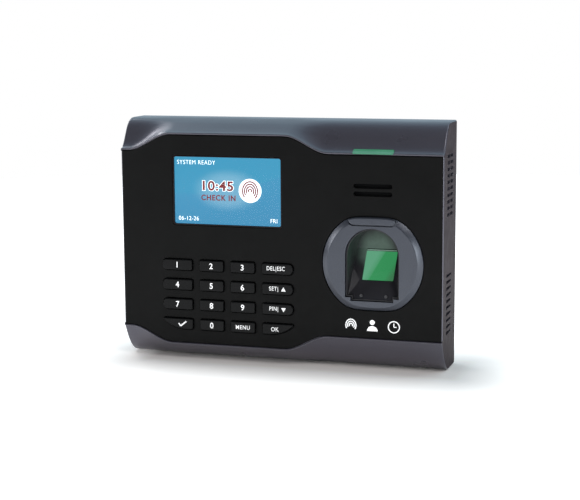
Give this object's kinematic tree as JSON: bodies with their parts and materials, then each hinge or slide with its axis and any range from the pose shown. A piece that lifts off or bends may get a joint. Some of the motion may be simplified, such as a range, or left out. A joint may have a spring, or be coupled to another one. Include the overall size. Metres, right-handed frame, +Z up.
{
  "type": "fingerprint scanner terminal",
  "caption": "Wall-mounted access terminal with a colour display, a pad of sprung keys, a speaker and a recessed optical finger sensor, on a pressed wall plate.",
  "frame": {"origin": "middle of the bounding box's base: the flat underside of the housing, midway across and midway front to back", "axes": "+X to the right seen from the front, +Y from the front towards the wall, +Z up"},
  "size_m": [0.1926, 0.0392, 0.141],
  "materials": {
    "housing_paint": "metallic gunmetal paint over moulded plastic, satin",
    "fascia_black": "fine-grained black, satin sheen",
    "key_plastic": "black satin with printed white signs",
    "sensor_plastic": "metallic dark grey paint, satin",
    "dark_plastic": "moulded black, fine grain",
    "clear_lens": "clear flat window with a dark printed border",
    "prism_glass": "polished, lit green from below",
    "screen": "lit blue picture",
    "light_pipe": "frosted, lit pale green",
    "silicone": "moulded silicone sheet",
    "circuit_board": "green solder mask over glass-epoxy board",
    "bright_steel": "plated sheet and screws",
    "plate_steel": "black powder coat on pressed steel",
    "black_component": "moulded black parts",
    "speaker_cloth": "black woven dust cloth",
    "cone_paper": "pressed black cone",
    "white_plastic": "white moulded plastic",
    "flat_cable": "white flat cable",
    "orange_flex": "amber film circuit",
    "wire_insulation": "red wire pair"
  },
  "bodies": {
    "terminal": {"front_housing": "housing_paint", "fascia_panel": "fascia_black", "sensor_bezel": "sensor_plastic", "sensor_cup": "dark_plastic", "sensor_bracket": "dark_plastic", "back_cover": "dark_plastic", "display_lens": "clear_lens", "prism": "prism_glass", "lcd_glass": "screen", "status_light_pipe": "light_pipe", "keypad_membrane": "silicone", "keypad_board": "circuit_board", "sensor_light_board": "circuit_board", "sensor_board": "circuit_board", "status_light_board": "circuit_board", "main_board": "circuit_board", "lcd_frame": "bright_steel", "cup_screw_left": "bright_steel", "cup_screw_right": "bright_steel", "housing_screw_1": "bright_steel", "housing_screw_2": "bright_steel", "housing_screw_3": "bright_steel", "housing_screw_4": "bright_steel", "lock_screw": "bright_steel", "coin_cell": "bright_steel", "network_socket": "bright_steel", "speaker_magnet": "bright_steel", "wall_plate": "plate_steel", "sensor_camera": "black_component", "processor": "black_component", "memory_chip": "black_component", "coin_cell_holder": "black_component", "power_jack": "black_component", "tamper_switch": "black_component", "speaker_frame": "black_component", "speaker_mesh": "speaker_cloth", "speaker_cone": "cone_paper", "backlight_unit": "white_plastic", "keypad_ribbon": "flat_cable", "sensor_ribbon": "flat_cable", "lcd_flex": "orange_flex", "speaker_lead": "wire_insulation"},
    "key_1_cap": {"key_1": "key_plastic"},
    "key_2_cap": {"key_2": "key_plastic"},
    "key_3_cap": {"key_3": "key_plastic"},
    "key_esc_cap": {"key_esc": "key_plastic"},
    "key_4_cap": {"key_4": "key_plastic"},
    "key_5_cap": {"key_5": "key_plastic"},
    "key_6_cap": {"key_6": "key_plastic"},
    "key_up_cap": {"key_up": "key_plastic"},
    "key_7_cap": {"key_7": "key_plastic"},
    "key_8_cap": {"key_8": "key_plastic"},
    "key_9_cap": {"key_9": "key_plastic"},
    "key_down_cap": {"key_down": "key_plastic"},
    "key_check_cap": {"key_check": "key_plastic"},
    "key_0_cap": {"key_0": "key_plastic"},
    "key_menu_cap": {"key_menu": "key_plastic"},
    "key_ok_cap": {"key_ok": "key_plastic"},
    "plunger": {"tamper_plunger": "white_plastic"}
  },
  "joints": [
    {"name": "press_1", "type": "slide", "parent": "terminal", "child": "key_1_cap", "axis": [0, 1, 0], "range_m": [0, 0.001], "stiffness_N_per_m": 400, "springref_m": -0.0005},
    {"name": "press_2", "type": "slide", "parent": "terminal", "child": "key_2_cap", "axis": [0, 1, 0], "range_m": [0, 0.001], "stiffness_N_per_m": 400, "springref_m": -0.0005},
    {"name": "press_3", "type": "slide", "parent": "terminal", "child": "key_3_cap", "axis": [0, 1, 0], "range_m": [0, 0.001], "stiffness_N_per_m": 400, "springref_m": -0.0005},
    {"name": "press_esc", "type": "slide", "parent": "terminal", "child": "key_esc_cap", "axis": [0, 1, 0], "range_m": [0, 0.001], "stiffness_N_per_m": 400, "springref_m": -0.0005},
    {"name": "press_4", "type": "slide", "parent": "terminal", "child": "key_4_cap", "axis": [0, 1, 0], "range_m": [0, 0.001], "stiffness_N_per_m": 400, "springref_m": -0.0005},
    {"name": "press_5", "type": "slide", "parent": "terminal", "child": "key_5_cap", "axis": [0, 1, 0], "range_m": [0, 0.001], "stiffness_N_per_m": 400, "springref_m": -0.0005},
    {"name": "press_6", "type": "slide", "parent": "terminal", "child": "key_6_cap", "axis": [0, 1, 0], "range_m": [0, 0.001], "stiffness_N_per_m": 400, "springref_m": -0.0005},
    {"name": "press_up", "type": "slide", "parent": "terminal", "child": "key_up_cap", "axis": [0, 1, 0], "range_m": [0, 0.001], "stiffness_N_per_m": 400, "springref_m": -0.0005},
    {"name": "press_7", "type": "slide", "parent": "terminal", "child": "key_7_cap", "axis": [0, 1, 0], "range_m": [0, 0.001], "stiffness_N_per_m": 400, "springref_m": -0.0005},
    {"name": "press_8", "type": "slide", "parent": "terminal", "child": "key_8_cap", "axis": [0, 1, 0], "range_m": [0, 0.001], "stiffness_N_per_m": 400, "springref_m": -0.0005},
    {"name": "press_9", "type": "slide", "parent": "terminal", "child": "key_9_cap", "axis": [0, 1, 0], "range_m": [0, 0.001], "stiffness_N_per_m": 400, "springref_m": -0.0005},
    {"name": "press_down", "type": "slide", "parent": "terminal", "child": "key_down_cap", "axis": [0, 1, 0], "range_m": [0, 0.001], "stiffness_N_per_m": 400, "springref_m": -0.0005},
    {"name": "press_check", "type": "slide", "parent": "terminal", "child": "key_check_cap", "axis": [0, 1, 0], "range_m": [0, 0.001], "stiffness_N_per_m": 400, "springref_m": -0.0005},
    {"name": "press_0", "type": "slide", "parent": "terminal", "child": "key_0_cap", "axis": [0, 1, 0], "range_m": [0, 0.001], "stiffness_N_per_m": 400, "springref_m": -0.0005},
    {"name": "press_menu", "type": "slide", "parent": "terminal", "child": "key_menu_cap", "axis": [0, 1, 0], "range_m": [0, 0.001], "stiffness_N_per_m": 400, "springref_m": -0.0005},
    {"name": "press_ok", "type": "slide", "parent": "terminal", "child": "key_ok_cap", "axis": [0, 1, 0], "range_m": [0, 0.001], "stiffness_N_per_m": 400, "springref_m": -0.0005},
    {"name": "tamper_press", "type": "slide", "parent": "terminal", "child": "plunger", "axis": [0, -1, 0], "range_m": [0, 0.0015], "stiffness_N_per_m": 200, "springref_m": -0.001}
  ]
}
